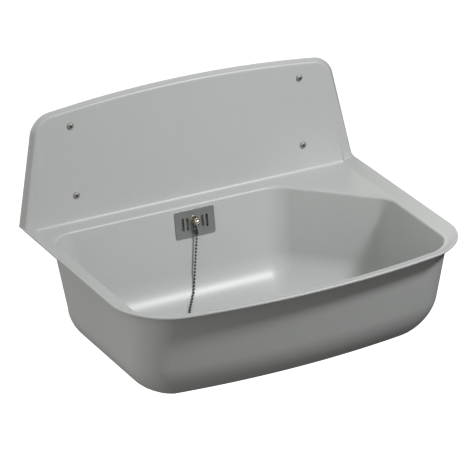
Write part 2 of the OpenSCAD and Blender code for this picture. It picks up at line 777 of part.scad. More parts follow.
sink_shell();
wall_screws();
cup_washers();
wall_plugs();
overflow_plate();
overflow_gasket();
overflow_box();
overflow_hose();
hose_clips();
chain_stay();
stay_ring();
upper_chain_clasp();
ball_chain();
lower_chain_clasp();
plug_ring();
plug_cap();
rubber_plug();
waste_strainer();
strainer_gasket();
waste_screw();
waste_gasket();
waste_body();
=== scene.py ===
# %% [markdown]
# # A wall-hung mop sink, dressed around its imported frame
#
# The frame already holds every piece of the sink at its real size and in its real place. This
# lesson gives each piece the surface that the eye expects. The moulded shell is drawn again
# with finer rounds, the small metal pieces get their eased edges, and the chain its balls.
# Sizes are in millimetres, as on a maker's drawing, and MM turns them into Blender's metres.

# %% Load the frame
import json
from math import cos, pi, radians, sin, sqrt, tan

import bmesh
import bpy
from mathutils import Matrix, Vector


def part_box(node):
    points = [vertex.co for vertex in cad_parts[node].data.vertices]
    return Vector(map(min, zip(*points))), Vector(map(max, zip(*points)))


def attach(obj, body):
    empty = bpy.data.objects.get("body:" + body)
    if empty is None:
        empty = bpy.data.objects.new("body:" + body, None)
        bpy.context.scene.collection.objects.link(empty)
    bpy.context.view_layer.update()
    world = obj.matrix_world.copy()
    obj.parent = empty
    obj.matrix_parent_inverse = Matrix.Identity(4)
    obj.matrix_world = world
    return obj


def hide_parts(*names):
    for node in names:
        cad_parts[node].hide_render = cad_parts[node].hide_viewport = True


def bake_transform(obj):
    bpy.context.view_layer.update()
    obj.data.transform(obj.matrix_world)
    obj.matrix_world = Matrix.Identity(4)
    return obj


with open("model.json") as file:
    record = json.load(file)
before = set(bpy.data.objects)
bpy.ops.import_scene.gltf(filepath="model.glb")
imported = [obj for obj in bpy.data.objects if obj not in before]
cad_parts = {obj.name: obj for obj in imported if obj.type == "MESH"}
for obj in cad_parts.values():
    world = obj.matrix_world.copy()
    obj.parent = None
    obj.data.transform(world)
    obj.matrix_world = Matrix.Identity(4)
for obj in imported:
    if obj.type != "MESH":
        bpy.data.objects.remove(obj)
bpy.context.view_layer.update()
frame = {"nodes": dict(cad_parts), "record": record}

MM = 0.001

# %% [markdown]
# ## The camera
#
# The sink is seen from its left, a little above, through a long lens. A camera's place is
# easiest to give as a turn, a height and a distance round a point that it looks at. Its three
# axes then follow from sines and cosines, so nothing has to be aimed by hand.

# %% Camera
CAMERA_TURN = radians(-24.469)
CAMERA_RISE = radians(23.297)
CAMERA_ROLL = radians(2.992)
CAMERA_REACH = 4.1427
CAMERA_LENS = 198.95
AIM = Vector((-0.01138, -0.2, -0.0092))

right = Vector((cos(CAMERA_TURN), sin(CAMERA_TURN), 0))
back = Vector((sin(CAMERA_TURN) * cos(CAMERA_RISE), -cos(CAMERA_TURN) * cos(CAMERA_RISE), sin(CAMERA_RISE)))
up = back.cross(right)
view_right = right * cos(CAMERA_ROLL) - up * sin(CAMERA_ROLL)
view_up = right * sin(CAMERA_ROLL) + up * cos(CAMERA_ROLL)

lens = bpy.data.cameras.new("product_camera")
lens.lens = CAMERA_LENS
lens.clip_end = 40
camera = bpy.data.objects.new("product_camera", lens)
bpy.context.scene.collection.objects.link(camera)
stance = Matrix((view_right, view_up, back)).transposed().to_4x4()
camera.matrix_world = Matrix.Translation(AIM + back * CAMERA_REACH) @ stance
bpy.context.scene.camera = camera
print("camera stands", round(CAMERA_REACH, 2), "m away")

# %% [markdown]
# ## Node maths as plain arithmetic
#
# A node tree gets hard to read when every sum is three lines of linking. `Wire` wraps one
# socket and gives it the signs of arithmetic, so `0.3 + 0.1 * grain` adds its own Math nodes.
# `Bench` is any node tree. Its `node` method makes a node in one line: its type, its settings,
# which come first because they can change the sockets, and its inputs.

# %% Wires and benches
class Wire:
    """One socket on a bench, which can be added, taken away and multiplied."""

    def __init__(self, bench, socket):
        self.bench = bench
        self.socket = socket

    def maths(self, operation, a, b):
        return self.bench.node("ShaderNodeMath", {"operation": operation}, {0: a, 1: b})

    def __add__(self, other):
        return self.maths("ADD", self, other)

    def __sub__(self, other):
        return self.maths("SUBTRACT", self, other)

    def __rsub__(self, other):
        return self.maths("SUBTRACT", other, self)

    def __mul__(self, other):
        return self.maths("MULTIPLY", self, other)

    __radd__ = __add__
    __rmul__ = __mul__

    def between(self, low, high):
        """0 below low, 1 above high and a soft rise between them."""
        settings = {"interpolation_type": "SMOOTHSTEP"}
        return self.bench.node("ShaderNodeMapRange", settings, {"Value": self, 1: low, 2: high})


class Bench:
    """A node tree whose nodes are made by expressions."""

    def __init__(self, tree):
        self.tree = tree

    def node(self, kind, settings=None, inputs=None, output=0):
        made = self.tree.nodes.new(kind)
        for label, value in (settings or {}).items():
            setattr(made, label, value)
        for label, value in (inputs or {}).items():
            self.feed(made.inputs[label], value)
        return Wire(self, made.outputs[output])

    def feed(self, socket, value):
        for item in value if isinstance(value, list) else [value]:
            if isinstance(item, Wire):
                self.tree.links.new(item.socket, socket)
            else:
                socket.default_value = item

# %% [markdown]
# `Finish` is a bench with one Principled shader on it. Values that are the same all over go
# straight on the shader's own sockets when the finish is made, and only what varies over the
# surface is wired.

# %% Finishes
class Finish(Bench):
    """A material with one Principled shader."""

    def __init__(self, name, color, **constants):
        self.material = bpy.data.materials.new(name)
        self.material.use_nodes = True
        super().__init__(self.material.node_tree)
        self.shader = self.tree.nodes["Principled BSDF"]
        self.shader.inputs["Base Color"].default_value = (*color, 1)
        self.color = color
        for label, value in constants.items():
            self.shader.inputs[label.replace("_", " ")].default_value = value
        self.place = self.node("ShaderNodeTexCoord", output="Object")

    def noise(self, size, detail=2.0, stretch=(1, 1, 1)):
        """Cloudy noise from 0 to 1 whose patches are about size metres across."""
        scale = tuple(s / size for s in stretch)
        place = self.node("ShaderNodeVectorMath", {"operation": "MULTIPLY"}, {0: self.place, 1: scale})
        return self.node("ShaderNodeTexNoise", None, {"Vector": place, "Scale": 1.0, "Detail": detail})

    def mix(self, share, a, b):
        """A colour that goes from a to b as share goes from 0 to 1."""
        colors = {6 + i: (*c, 1) if isinstance(c, tuple) else c for i, c in enumerate((a, b))}
        return self.node("ShaderNodeMix", {"data_type": "RGBA"}, {0: share, **colors}, output=2)

    def shade(self, share, depth):
        """The finish's own colour, darker and lighter by depth as share goes from 0 to 1."""
        dark, light = (tuple(c * (1 + s * depth) for c in self.color) for s in (-1, 1))
        return self.mix(share, dark, light)

    def set(self, **sockets):
        for label, value in sockets.items():
            self.feed(self.shader.inputs[label.replace("_", " ")], value)

    def bump(self, height, depth):
        self.set(Normal=self.node("ShaderNodeBump", None, {"Height": height, "Distance": depth}))

# %% [markdown]
# ## The finishes
#
# Moulded grey polymer is satin: its gloss comes from a thin smooth skin over a very slight
# orange peel. Three noises at three sizes carry it. Wide clouds and a fine grain shift the
# colour by a few percent and break the gloss, and the finest one is the bump.

# %% Moulded grey
def moulded_grey():
    grey = Finish("moulded_grey", (0.485, 0.5, 0.498), IOR=1.5)
    clouds = grey.noise(0.16)
    grain = grey.noise(0.003, detail=4)
    peel = grey.noise(0.0012)
    grey.set(Base_Color=grey.shade(0.4 * clouds + 0.6 * grain, 0.1),
             Roughness=0.33 + 0.06 * clouds + 0.05 * grain)
    grey.bump(peel, 0.00002)
    return grey.material

# %% [markdown]
# Rolled or brushed steel shows hair-fine scratches in one direction. The same noise does that
# when it is stretched: very small across the scratches and long along them. Dull plated metal
# has no direction, so its noise keeps its proportions.

# %% Metals
def metal(name, color, roughness, hair=(1, 1, 1), size=0.0006, depth=0.000008, tarnish=0.08):
    finish = Finish(name, color, Metallic=1.0)
    hairs = finish.noise(size, detail=3, stretch=hair)
    stain = finish.noise(0.009, detail=4)
    finish.set(Base_Color=finish.shade(0.5 * hairs + 0.5 * stain, tarnish),
               Roughness=roughness - 0.08 + 0.1 * hairs + 0.08 * stain)
    finish.bump(hairs, depth)
    return finish.material

# %% [markdown]
# The pieces behind the wall line are plain mouldings: nylon plugs, a white waste and a soft
# hose. A soft mottling keeps them from looking like one flat colour, and each has its own
# gloss. Rubber is dark and dry, with a faint bloom of paler dust. Every node takes the finish
# of its slot in the record, apart from the cup washers, which look duller than the screws.

# %% Plastics and rubber
def moulded(name, color, roughness, mottle=0.04, depth=0.00003):
    finish = Finish(name, color, IOR=1.48)
    mottling = finish.noise(0.012, detail=4)
    grain = finish.noise(0.0008)
    finish.set(Base_Color=finish.shade(mottling, mottle),
               Roughness=roughness + 0.1 * mottling + 0.05 * grain)
    finish.bump(grain, depth)
    return finish.material


def rubber():
    finish = Finish("black_rubber", (0.022, 0.022, 0.023), IOR=1.5)
    bloom = finish.noise(0.01, detail=5).between(0.45, 0.8)
    finish.set(Base_Color=finish.mix(bloom, finish.color, (0.06, 0.06, 0.062)),
               Roughness=0.55 + 0.2 * bloom)
    finish.bump(finish.noise(0.0005), 0.00003)
    return finish.material


FINISHES = {
    "shell": moulded_grey(),
    "fixing_steel": metal("zinc_plate", (0.4, 0.4, 0.395), 0.6),
    "plate_steel": metal("rolled_stainless", (0.5, 0.51, 0.51), 0.4, hair=(1, 1, 0.03), size=0.0004),
    "knob_metal": metal("warm_nickel", (0.72, 0.66, 0.52), 0.12),
    "chain_metal": metal("dull_nickel", (0.1, 0.1, 0.105), 0.34),
    "nylon": moulded("grey_nylon", (0.3, 0.31, 0.33), 0.5),
    "rubber": rubber(),
    "waste_plastic": moulded("white_polypropylene", (0.72, 0.72, 0.7), 0.35),
    "hose_plastic": moulded("soft_hose", (0.6, 0.6, 0.59), 0.42),
}
SLOTS = {part["node"]: part["material_slot"] for part in frame["record"]["subparts"]}
LOOKS = {node: FINISHES[slot] for node, slot in SLOTS.items()}
LOOKS["cup_washers"] = metal("bright_zinc", (0.4, 0.4, 0.39), 0.66)
print("finishes:", ", ".join(sorted({look.name for look in LOOKS.values()})))

# %% [markdown]
# ## Small helpers for pieces
#
# A finished piece is an object at the origin whose place is in its mesh. `piece` makes one,
# gives it its finish, hangs it on the body that it rides on and hides the frame's node that it stands for.
# `shaded` makes a mesh smooth except along edges sharper than an angle.

# %% Pieces
BODY_OF = {node: body for body, nodes in frame["record"]["behaviour"]["bodies"].items() for node in nodes}
CRISP, ROUNDED_OFF = radians(34), radians(60)


def shaded(mesh, angle=CRISP):
    mesh.shade_smooth()
    mesh.set_sharp_from_angle(angle=angle)
    return mesh


def named_object(name, data):
    made = bpy.data.objects.new(name, data)
    bpy.context.scene.collection.objects.link(made)
    return made


def piece(name, mesh, node):
    """An object that stands for a node of the frame, in that node's finish and on its body."""
    made = named_object(name, mesh)
    mesh.materials.clear()
    mesh.materials.append(LOOKS[node])
    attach(made, BODY_OF[node])
    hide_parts(node)
    return made


def baked(item):
    """The object's mesh with its modifiers applied, and the object itself removed."""
    bpy.context.view_layer.update()
    evaluated = item.evaluated_get(bpy.context.evaluated_depsgraph_get())
    mesh = bpy.data.meshes.new_from_object(evaluated)
    bpy.data.objects.remove(item)
    return mesh

# %% [markdown]
# ## The shell's outlines
#
# A moulded bowl is a loft: a stack of closed outlines, one above the other, all with the same
# number of points. An outline here is a list of corners, each with its radius. A rational
# curve of degree two turns a corner into an exact arc where both its legs are equal, and into
# a fair curve where they are not.

# %% Outlines
CORNER_STEPS = 14
SIDE_STEPS = [6, 1, 1, 4, 24, 6]
LEAST_LEG = 3.0


def legs(corners, radii):
    """How far each corner's round reaches along its two sides."""
    found = []
    for i, corner in enumerate(corners):
        a = (corner - corners[i - 1]).normalized()
        b = (corners[(i + 1) % len(corners)] - corner).normalized()
        turn = a.dot(b)
        found.append(max(LEAST_LEG, radii[i] * sqrt(max(0, (1 - turn) / (1 + turn)))))
    return found


def rounded(a, corner, b, steps):
    """Points on the round from a to b inside the corner."""
    turn = (corner - a).normalized().dot((b - corner).normalized())
    weight = sqrt(max(0, (1 + turn) / 2))
    points = []
    for k in range(steps + 1):
        t = k / steps
        p, q, r = (1 - t) ** 2, 2 * weight * t * (1 - t), t * t
        points.append((p * a + q * corner + r * b) / (p + q + r))
    return points


def outline(corners, radii):
    """A closed outline through rounded corners, with its sides cut into steps."""
    corners = [Vector(c) for c in corners]
    reach = legs(corners, radii)
    points = []
    for i, corner in enumerate(corners):
        before, after = corners[i - 1], corners[(i + 1) % len(corners)]
        a = corner + reach[i] * (before - corner).normalized()
        b = corner + reach[i] * (after - corner).normalized()
        c = after + reach[(i + 1) % len(corners)] * (corner - after).normalized()
        points += rounded(a, corner, b, CORNER_STEPS)
        points += [b.lerp(c, k / SIDE_STEPS[i]) for k in range(1, SIDE_STEPS[i])]
    return points

# %% [markdown]
# The driving sizes come next. The rim is a little narrower at the front than at the wall, and
# its front bows out, so every outline, at any height, is bent by the same small rule. Writing
# that rule once keeps the rim, the mouth and the outside of the bowl in step.
#
# Two forms follow the photograph more closely than the frame does. The front's cove starts
# along the leaning wall, up to about 9 mm off the frame at its foot, and CUT_EDGE makes the
# mouth's round up to 6 mm wider on the cut-off corner.

# %% The shell's sizes
box_low, box_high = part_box("sink_shell")
SINK_W, SINK_D = 600, -box_low.y / MM
FRONT_BULGE, BULGE_FROM, BULGE_TO = 37, 120, 350
SIDE_TAPER = 10
RIM_R, STRIP, STRIP_RISE = 80, 24, 7.5
LIP, SHEET, LIP_R = 4.5, 6, 1.5
BOWL_DEPTH, DECK = 176, 43.5
CUT_X, CUT_Y = 137, 190
BACK_R, FRONT_R, CUT_R = 45, 50, 60
EDGE_R, CUT_EDGE = 4, 6
BACK_ANGLE = 5
SIDE_DRAFT, BACK_DRAFT, FRONT_DRAFT = (tan(radians(a)) for a in (2.5, BACK_ANGLE, 18))
COVE_H, COVE_SIDE, COVE_END, COVE_FRONT = 64, 86, 64, 54
FOOT_RADII, LEAST_FOOT_R, FOOT_TIGHTENS = (1.45 * BACK_R, CUT_R, FRONT_R - 8), 12, 0.6
FLOOR_FALL = 0.02
DECK_Z = -STRIP_RISE
BOWL_TOP = DECK_Z - EDGE_R
COVE_TOP = COVE_H - BOWL_DEPTH
FRONT_Y = SINK_D - FRONT_BULGE
print("shell:", SINK_W, "by", round(SINK_D), "mm over the rim")


def half_width(y):
    return SINK_W / 2 - SIDE_TAPER * y / SINK_D


def bowed(points, z):
    """Flat points bent by the front's rule and put at a height."""
    lifted = []
    for x, y in points:
        share = min(1, max(0, (-y - BULGE_FROM) / (BULGE_TO - BULGE_FROM)))
        lifted.append(Vector((x, y - FRONT_BULGE * share * (1 - (x / half_width(FRONT_Y)) ** 2), z)))
    return lifted

# %% [markdown]
# Two outlines do most of the work. The rim's has its back along the wall. The bowl's follows
# the mouth, whose right back corner is cut off at a slant to leave a shelf on the deck. The
# slanted side is found as a line and moved inwards by its own inset.

# %% Rim and bowl outlines
def rim_ring(inset, from_wall, radius, z):
    def side(y):
        return half_width(y) - inset
    front = FRONT_Y - inset
    corners = [(-side(from_wall), -from_wall), (CUT_X, -from_wall), (side(from_wall), -from_wall),
               (side(CUT_Y), -CUT_Y), (side(front), -front), (-side(front), -front)]
    return bowed(outline(corners, [0, 0, 0, 0, radius, radius]), z)


CUT_RUN = Vector((half_width(CUT_Y) - STRIP - CUT_X, CUT_Y - DECK)).normalized()


def bowl_outline(in_side, in_back, in_cut, in_front, back_r, cut_r, front_r):
    def side(y):
        return half_width(y) - STRIP - in_side
    back_y = DECK + in_back
    front = FRONT_Y - STRIP - in_front
    start = Vector((CUT_X - in_cut * CUT_RUN.y, DECK + in_cut * CUT_RUN.x))
    taper = SIDE_TAPER / SINK_D
    first = (back_y - start.y) / CUT_RUN.y
    last = (side(0) - taper * start.y - start.x) / (CUT_RUN.x + taper * CUT_RUN.y)
    slant = [start + t * CUT_RUN for t in (first, (first + last) / 2, last)]
    corners = [(-side(back_y), -back_y), *((p.x, -p.y) for p in slant),
               (side(front), -front), (-side(front), -front)]
    return outline(corners, [back_r, cut_r, 0, cut_r, front_r, front_r])

# %% [markdown]
# The mouth's edge and the cove at the foot of the walls are quarter rounds, so each is a row
# of outlines that an angle drives. The same function draws the outside when it is offset by
# the sheet's thickness, which keeps the wall even all the way round.

# %% Mouth, cove and waste seat
quarter = pi / 2


def run(draft, z):
    """How far a drafted wall has come in at a height."""
    return EDGE_R + draft * (BOWL_TOP - z)


def mouth_ring(angle):
    """The round of the mouth, which is wider on the cut-off corner."""
    inset = EDGE_R * sin(angle)
    in_cut = inset - CUT_EDGE * (1 - sin(angle))
    radii = (BACK_R - inset, CUT_R - inset, FRONT_R - inset)
    return bowed(bowl_outline(inset, inset, in_cut, inset, *radii), DECK_Z - EDGE_R * (1 - cos(angle)))


def outer_top():
    """The top of the outside, under the deck: a sheet's thickness behind the inside."""
    z = DECK_Z - SHEET
    side, back_in, front_in = (run(draft, z) - SHEET for draft in (SIDE_DRAFT, BACK_DRAFT, FRONT_DRAFT))
    radii = (r + SHEET - EDGE_R for r in (BACK_R, CUT_R, FRONT_R))
    return bowed(bowl_outline(side, back_in, back_in, front_in, *radii), z)


def cove_ring(off, angle):
    come_in = 1 - cos(angle)
    lean = FRONT_DRAFT * (COVE_H + off)
    tight = FOOT_TIGHTENS * (COVE_SIDE + off) * come_in - off
    side = run(SIDE_DRAFT, COVE_TOP) + (COVE_SIDE + off) * come_in - off
    back_in = run(BACK_DRAFT, COVE_TOP) + (COVE_END + off) * come_in - off
    front_in = run(FRONT_DRAFT, COVE_TOP) + lean * sin(angle) + (COVE_FRONT + off - lean) * come_in - off
    radii = (max(LEAST_FOOT_R, r - tight) for r in FOOT_RADII)
    ring = bowed(bowl_outline(side, back_in, back_in, front_in, *radii),
                 COVE_TOP - (COVE_H + off) * sin(angle))
    return [Vector((x, y, z - FLOOR_FALL * (y + SINK_D / 2) * (COVE_TOP - z) / COVE_H)) for x, y, z in ring]


WASTE = Vector((-16, -205))
SEAT_R, WASTE_HOLE_R = 52, 26
SEAT_DROP = 3
SEAT_Z = -BOWL_DEPTH - SEAT_DROP


def waste_ring(off, radius):
    """A circle round the waste, with one point for each point of the cove's last outline."""
    ring = []
    for p in cove_ring(off, quarter):
        way = (p.xy - WASTE).normalized()
        ring.append(Vector((*(WASTE + radius * way), SEAT_Z - off)))
    return ring

# %% [markdown]
# The back panel stands up from the wall's edge of the rim. Instead of building it apart and
# joining it, the rim's outline itself climbs over it: the points that lie along the wall are
# lifted round the panel, foot to foot. That gives one skin with no seam, as in the mould.

# %% The panel's outline
PANEL_HALF, PANEL_H, PANEL_ARCH, PANEL_R = SINK_W / 2 + 2.5, 197.5, 18, 34
PANEL_TILT, PANEL_LEAN = tan(radians(11.6)), tan(radians(2))
PANEL_GAP, PANEL_EDGE_R = 15, 4
FLARE = 0.3 * PANEL_GAP
PANEL_END = PANEL_H - PANEL_ARCH
CREASE, CREASE_R = STRIP - 1, FRONT_R + 1
SHOULDER = PANEL_GAP + 3
FOOT_R, FOOT_SPREAD = 5, 3
BACK_COUNT = 3 * (CORNER_STEPS + 1) + SIDE_STEPS[0] - 1
END_COUNT = CORNER_STEPS - 1
ARCH_COUNT = BACK_COUNT - 2 * (END_COUNT + 2)


def panel_edge(z):
    return PANEL_HALF - PANEL_TILT * z


def face_depth(z):
    return PANEL_GAP - PANEL_LEAN * (z - DECK_Z)


def panel_line(inset, depth, drop):
    """The panel's outline from foot to foot, at a share of its face's depth from the wall."""
    foot_x, top_x, top_z = panel_edge(0) - inset, panel_edge(PANEL_END) - inset, PANEL_END - inset
    foot = Vector((-foot_x, -max(0, half_width(0) - foot_x) * STRIP_RISE / CREASE - drop))
    corner = Vector((-top_x, top_z))
    side, along = (foot - corner).normalized(), Vector((1, 0))
    turn = -side.dot(along)
    reach = max(LEAST_LEG, (PANEL_R - inset) * sqrt((1 - turn) / (1 + turn)))
    left = rounded(corner + reach * side, corner, corner + reach * along, END_COUNT - 1)
    far = Vector((-left[-1].x, left[-1].y))
    top = [left[-1].lerp(far, k / (ARCH_COUNT + 1)) for k in range(1, ARCH_COUNT + 1)]
    right_side = [Vector((-p.x, p.y)) for p in reversed(left)]
    points = []
    for x, z in [foot, *left, *top, *right_side, Vector((foot_x, foot.y))]:
        share = max(0, z / PANEL_END)
        height = z + PANEL_ARCH * share ** 2 * max(0, 1 - (x / panel_edge(PANEL_END)) ** 2)
        points.append(Vector((x, -depth * face_depth(height), height)))
    return points


def sheet_edge(rim_inset, z, panel_inset, depth, drop):
    """One outline round the sheet's edge: along the rim, and up and over the panel."""
    rim = rim_ring(rim_inset, 0, RIM_R - rim_inset, z)
    x = half_width(SHOULDER) - rim_inset
    ends = [Vector((s * x, -SHOULDER, z)) for s in (-1, 1)]
    return [ends[0], *panel_line(panel_inset, depth, drop), ends[1], *rim[BACK_COUNT:]]


def foot_ring(angle):
    """The concave round at the panel's foot, which fades out where the strip comes in."""
    from_wall = face_depth(DECK_Z + FOOT_R) + FOOT_R * (1 - cos(angle))
    rise = FOOT_R * (1 - sin(angle))
    inset = CREASE - FOOT_SPREAD * (1 - angle / quarter)
    z = -STRIP_RISE * inset / CREASE
    ring = rim_ring(inset, from_wall, CREASE_R, z)
    for i, p in enumerate(ring):
        share = max(0, min(1, i / CORNER_STEPS, (BACK_COUNT - 1 - i) / CORNER_STEPS))
        p.z = z + share * (DECK_Z + rise - z)
    return ring

# %% [markdown]
# Now the outlines are stacked. Flat stretches, such as the panel's face and the deck, need one
# more thing. Smooth shading blends the direction of neighbouring faces, and a blend that runs
# across a wide flat shows as a false gradient. An extra outline held close to each side of the
# flat keeps the blend in a narrow band.

# %% The shell's loft
HOLD = 0.015
COVE_STEPS, EDGE_STEPS = 16, 6


def blended(a, b, t):
    return [p.lerp(q, t) for p, q in zip(a, b)]


def held(rings, at):
    """The rings with an extra one just inside both ends of the stretch after ring number at."""
    a, b = rings[at], rings[at + 1]
    return rings[:at + 1] + [blended(a, b, HOLD), blended(a, b, 1 - HOLD)] + rings[at + 1:]


def top_edge(angle):
    """The round along the top of the rim's lip and of the panel's edge."""
    drop = 1 - sin(angle)
    come_in = 1 - cos(angle)
    depth = 1 - drop * PANEL_EDGE_R / PANEL_GAP
    return sheet_edge(LIP_R * come_in, -LIP_R * drop, FLARE + PANEL_EDGE_R * come_in, depth, 0)


def sweep(draw, first, last, steps):
    return [draw(first + (last - first) * k / steps) for k in range(steps + 1)]


floor_rings = [waste_ring(0, WASTE_HOLE_R), waste_ring(0, SEAT_R)]
cove_rings = sweep(lambda a: cove_ring(0, a), quarter, 0, COVE_STEPS)
floor_rings += [blended(floor_rings[-1], cove_rings[0], t) for t in (0.06, 0.35, 0.65, 0.94)]
mouth_rings = sweep(mouth_ring, quarter, 0, EDGE_STEPS)
wall_rings = [blended(cove_rings[-1], mouth_rings[0], t) for t in (0.03, 0.35, 0.65, 0.97)]
foot_rings = sweep(foot_ring, quarter, 0, EDGE_STEPS)
top_rings = sweep(top_edge, quarter, 0, EDGE_STEPS)
rings = floor_rings + cove_rings + wall_rings + mouth_rings
rings = held(rings + foot_rings[:1], len(rings) - 1) + foot_rings[1:]
rings = held(rings + top_rings[:1], len(rings) - 1) + top_rings[1:]
rings += [sheet_edge(0, -LIP / 2, 0, 0, 0), sheet_edge(0, LIP_R - LIP, LIP, 0, LIP),
          sheet_edge(LIP_R, -LIP, FLARE + LIP, 1 - LIP / PANEL_GAP, LIP),
          rim_ring(CREASE, PANEL_GAP - LIP, CREASE_R, DECK_Z - LIP)]
outer_coves = sweep(lambda a: cove_ring(SHEET, a), 0, quarter, COVE_STEPS)
outside = outer_top()
rings += [outside, *(blended(outside, outer_coves[0], t) for t in (0.03, 0.5, 0.97)), *outer_coves]
rings += [waste_ring(SHEET, SEAT_R), waste_ring(SHEET, WASTE_HOLE_R)]


def loft(rings):
    """A closed skin through the rings, whose last one is joined back to the first."""
    count = len(rings[0])
    skin = bmesh.new()
    rows = [[skin.verts.new(p * MM) for p in ring] for ring in rings]
    for row, following in zip(rows, rows[1:] + rows[:1]):
        for i in range(count):
            j = (i + 1) % count
            skin.faces.new((row[i], row[j], following[j], following[i]))
    bmesh.ops.recalc_face_normals(skin, faces=skin.faces)
    return skin


def as_mesh(shape, name):
    mesh = bpy.data.meshes.new(name)
    shape.to_mesh(mesh)
    shape.free()
    return mesh


shell_skin = as_mesh(loft(rings), "shell_skin")
print("shell skin:", len(rings), "outlines of", len(rings[0]), "points")

# %% [markdown]
# The panel is carried off the wall by four round bosses and a rib, which are plain solids that
# run into the skin. The screw holes and the overflow's opening go through it. All of these are
# Boolean steps: one that adds and one that cuts, each with all its tools joined in one mesh.

# %% Bosses, rib and openings
SCREWS = [(sx * 205, z) for z in (38, 156) for sx in (-1, 1)]
SCREW_D, BOSS_D, WASHER_D = 6, 24, 11.8
SCREW_GAP, ROUND_SIDES = 0.6, 48
OVERFLOW_DROP, OPENING_W, OPENING_H = 39, 51, 26
RIB_W, RIB_H = SINK_W - 2 * STRIP - 8, 22
wall_at_overflow = DECK + EDGE_R + BACK_DRAFT * (BOWL_TOP + OVERFLOW_DROP)
OVERFLOW = (Matrix.Translation(Vector((WASTE.x, -wall_at_overflow, -OVERFLOW_DROP)) * MM)
            @ Matrix.Rotation(-radians(BACK_ANGLE), 4, "X"))


def add_box(shape, low, high, place=Matrix()):
    made = bmesh.ops.create_cube(shape, size=1)["verts"]
    low, high = Vector(low) * MM, Vector(high) * MM
    for v in made:
        v.co = place @ Vector((low[i] + (v.co[i] + 0.5) * (high[i] - low[i]) for i in range(3)))


def add_rod(shape, diameter, start, end, place=Matrix()):
    """A rod along Y between two places on it, in millimetres."""
    turn = Matrix.Rotation(radians(90), 4, "X")
    shift = Matrix.Translation(Vector((0, (start + end) / 2, 0)) * MM)
    bmesh.ops.create_cone(shape, cap_ends=True, segments=ROUND_SIDES, radius1=diameter / 2 * MM,
                          radius2=diameter / 2 * MM, depth=abs(start - end) * MM,
                          matrix=place @ shift @ turn)


def at(x, y, z):
    return Matrix.Translation(Vector((x, y, z)) * MM)


def combined(mesh, tool, operation):
    """The mesh with a tool added to it or cut from it."""
    body, cutter = named_object("body", mesh), named_object("cutter", tool)
    step = body.modifiers.new("combine", "BOOLEAN")
    step.operation, step.object, step.solver = operation, cutter, "EXACT"
    result = baked(body)
    bpy.data.objects.remove(cutter)
    return result


added = bmesh.new()
for x, z in SCREWS:
    add_rod(added, BOSS_D, 0, LIP / 2 - face_depth(z), place=at(x, 0, z))
add_box(added, (-RIB_W / 2, -LIP, -RIB_H / 2), (RIB_W / 2, 0, RIB_H / 2))
carrier = as_mesh(added, "bosses_and_rib")
shelf = bmesh.new()
add_box(shelf, (-RIB_W / 2, LIP / 2 - PANEL_GAP, DECK_Z - LIP + 1), (RIB_W / 2, -LIP / 2, DECK_Z - 0.5))
carrier = combined(carrier, as_mesh(shelf, "shelf"), "UNION")

cuts = bmesh.new()
for x, z in SCREWS:
    add_rod(cuts, SCREW_D + SCREW_GAP, 1, -PANEL_GAP - 1, place=at(x, 0, z))
add_box(cuts, (-OPENING_W / 2, -SHEET, -OPENING_H / 2), (OPENING_W / 2, 2 * SHEET, OPENING_H / 2), OVERFLOW)
shell_mesh = combined(shell_skin, carrier, "UNION")
shell_mesh = combined(shell_mesh, as_mesh(cuts, "cuts"), "DIFFERENCE")
shell = piece("moulded_shell", shaded(shell_mesh), "sink_shell")
print("shell:", len(shell_mesh.polygons), "faces")

# %% [markdown]
# ## Pieces that only need their edges eased
#
# The frame's own mesh of a small turned or stamped piece already has the right shape. What it
# lacks is a real edge: nothing that is made has a perfectly sharp one, and the thin line of
# light along an eased edge is what makes metal look like metal. A copy is merged, its flats
# are joined up, and a narrow bevel runs along its sharp edges.

# %% Eased copies of the frame's pieces
MERGE_WITHIN, FLAT_WITHIN = 0.000002, radians(0.6)
BEVEL_STEPS, BEVEL_FROM = 2, radians(40)


def eased(node, name, width):
    shape = bmesh.new()
    shape.from_mesh(frame["nodes"][node].data)
    bmesh.ops.remove_doubles(shape, verts=shape.verts, dist=MERGE_WITHIN)
    bmesh.ops.dissolve_limit(shape, angle_limit=FLAT_WITHIN, verts=shape.verts, edges=shape.edges)
    copy = piece(name, shaded(as_mesh(shape, name)), node)
    bevel = copy.modifiers.new("eased edges", "BEVEL")
    bevel.width, bevel.segments = width * MM, BEVEL_STEPS
    bevel.limit_method, bevel.angle_limit = "ANGLE", BEVEL_FROM


EASED = {
    "overflow_plate": 0.35, "overflow_gasket": 0.2, "overflow_box": 0.6, "hose_clips": 0.2,
    "chain_stay": 0.25, "upper_chain_clasp": 0.35, "lower_chain_clasp": 0.35, "plug_cap": 0.3,
    "rubber_plug": 0.5, "waste_strainer": 0.25, "strainer_gasket": 0.3, "waste_screw": 0.3,
    "waste_gasket": 0.3, "waste_body": 0.6, "wall_plugs": 0.3,
}
for node, width in EASED.items():
    eased(node, "finished_" + node, width)
print("eased:", len(EASED), "pieces")

# %% [markdown]
# ## Turned and bent pieces
#
# A screw is turned on a lathe, so it is a profile spun round an axis, and a hose is a circle
# carried along a bend. Both are the shell's loft again with circles for outlines. Where a
# profile starts and ends on the axis, its circles shrink to a point there and are merged.

# %% Lathe
def circle(radius, height):
    ways = [2 * pi * k / ROUND_SIDES for k in range(ROUND_SIDES)]
    return [Vector((radius * cos(way), radius * sin(way), height)) for way in ways]


def turned(profile):
    """A closed solid from radius and height pairs, spun round Z."""
    shape = loft([circle(radius, height) for radius, height in profile])
    bmesh.ops.remove_doubles(shape, verts=shape.verts, dist=0.000001)
    loose = [edge for edge in shape.edges if not edge.link_faces]
    bmesh.ops.delete(shape, geom=loose, context="EDGES")
    bmesh.ops.recalc_face_normals(shape, faces=shape.faces)
    return shape

